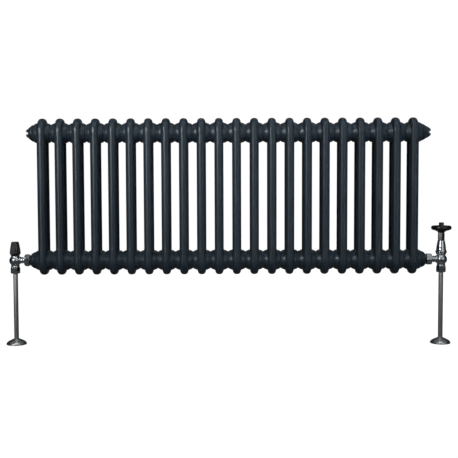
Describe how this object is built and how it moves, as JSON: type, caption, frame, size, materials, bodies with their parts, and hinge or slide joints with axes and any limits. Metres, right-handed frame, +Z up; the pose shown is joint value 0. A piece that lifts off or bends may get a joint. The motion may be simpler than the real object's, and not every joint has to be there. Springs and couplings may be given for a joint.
{
  "type": "column radiator with valves",
  "caption": "Two-column steel radiator on a lockshield valve and a wheelhead valve, each fed by a sleeved pipe that stands on a round floor plate.",
  "frame": {"origin": "on the floor, under the middle of the block of sections", "axes": "+Z up, +X along the row of sections from the lockshield valve to the wheelhead valve, +Y from the front to the wall"},
  "size_m": [1.1476, 0.0628, 0.5805],
  "materials": {
    "radiator_paint": "satin anthracite powder coat",
    "chrome_plate": "polished chrome plate on brass",
    "sleeve_chrome": "satin chrome tube",
    "dark_chrome": "dark nickel plate",
    "brass": "bare machined brass",
    "copper_pipe": "bare copper tube",
    "black_cap": "satin black plastic",
    "black_wheel": "polished black",
    "seal_rubber": "moulded rubber"
  },
  "bodies": {
    "radiator": {"section_01": "radiator_paint", "section_02": "radiator_paint", "section_03": "radiator_paint", "section_04": "radiator_paint", "section_05": "radiator_paint", "section_06": "radiator_paint", "section_07": "radiator_paint", "section_08": "radiator_paint", "section_09": "radiator_paint", "section_10": "radiator_paint", "section_11": "radiator_paint", "section_12": "radiator_paint", "section_13": "radiator_paint", "section_14": "radiator_paint", "section_15": "radiator_paint", "section_16": "radiator_paint", "section_17": "radiator_paint", "section_18": "radiator_paint", "section_19": "radiator_paint", "section_20": "radiator_paint", "section_21": "radiator_paint", "section_22": "radiator_paint", "top_left_seal": "seal_rubber", "top_left_plug": "radiator_paint", "top_right_seal": "seal_rubber", "top_right_vent_plug": "radiator_paint", "bottom_left_seal": "seal_rubber", "bottom_left_bush": "radiator_paint", "bottom_right_seal": "seal_rubber", "bottom_right_bush": "radiator_paint", "lockshield_body": "chrome_plate", "lockshield_compression_nut": "chrome_plate", "lockshield_olive": "brass", "lockshield_tail": "chrome_plate", "lockshield_union_nut": "chrome_plate", "wheel_valve_body": "chrome_plate", "wheel_valve_compression_nut": "chrome_plate", "wheel_valve_olive": "brass", "wheel_valve_tail": "chrome_plate", "wheel_valve_union_nut": "chrome_plate", "lockshield_headwork": "brass", "lockshield_gland_nut": "brass", "wheel_valve_headwork": "chrome_plate", "wheel_valve_packing": "seal_rubber", "wheel_valve_shroud": "chrome_plate", "wheel_valve_gland_nut": "dark_chrome", "left_pipe": "copper_pipe", "left_pipe_sleeve": "sleeve_chrome", "left_floor_plate": "chrome_plate", "right_pipe": "copper_pipe", "right_pipe_sleeve": "sleeve_chrome", "right_floor_plate": "chrome_plate"},
    "wheel_disc": {"wheel_valve_disc": "seal_rubber"},
    "wheel": {"wheel_valve_spindle": "brass", "wheel_valve_wheel": "black_wheel", "wheel_valve_finial_nut": "dark_chrome"},
    "lockshield_disc_body": {"lockshield_disc": "seal_rubber"},
    "lockshield_spindle_body": {"lockshield_spindle": "brass"},
    "cap": {"lockshield_cap": "black_cap"},
    "bleed_screw_body": {"bleed_screw": "brass"}
  },
  "joints": [
    {"name": "wheel_valve_lift", "type": "slide", "parent": "radiator", "child": "wheel_disc", "axis": [0, 0, 1], "range_m": [0, 0.00375]},
    {"name": "wheel_turn", "type": "hinge", "parent": "wheel_disc", "child": "wheel", "pos_m": [0.54785, 0, 0.218], "axis": [0, 0, 1], "range_deg": [0, 900]},
    {"name": "lockshield_lift", "type": "slide", "parent": "radiator", "child": "lockshield_disc_body", "axis": [0, 0, 1], "range_m": [0, 0.00375]},
    {"name": "lockshield_turn", "type": "hinge", "parent": "lockshield_disc_body", "child": "lockshield_spindle_body", "pos_m": [-0.54785, 0, 0.218], "axis": [0, 0, 1], "range_deg": [0, 900]},
    {"name": "cap_lift", "type": "slide", "parent": "radiator", "child": "cap", "axis": [0, 0, 1], "range_m": [0, 0.05]},
    {"name": "bleed_screw_turn", "type": "hinge", "parent": "radiator", "child": "bleed_screw_body", "pos_m": [0.505, 0, 0.543], "axis": [1, 0, 0], "range_deg": [0, 180]}
  ],
  "couplings": [
    {"joint": "wheel_turn", "follows": "wheel_valve_lift", "rad_per_m": 4188.8},
    {"joint": "lockshield_turn", "follows": "lockshield_lift", "rad_per_m": 4188.8}
  ]
}
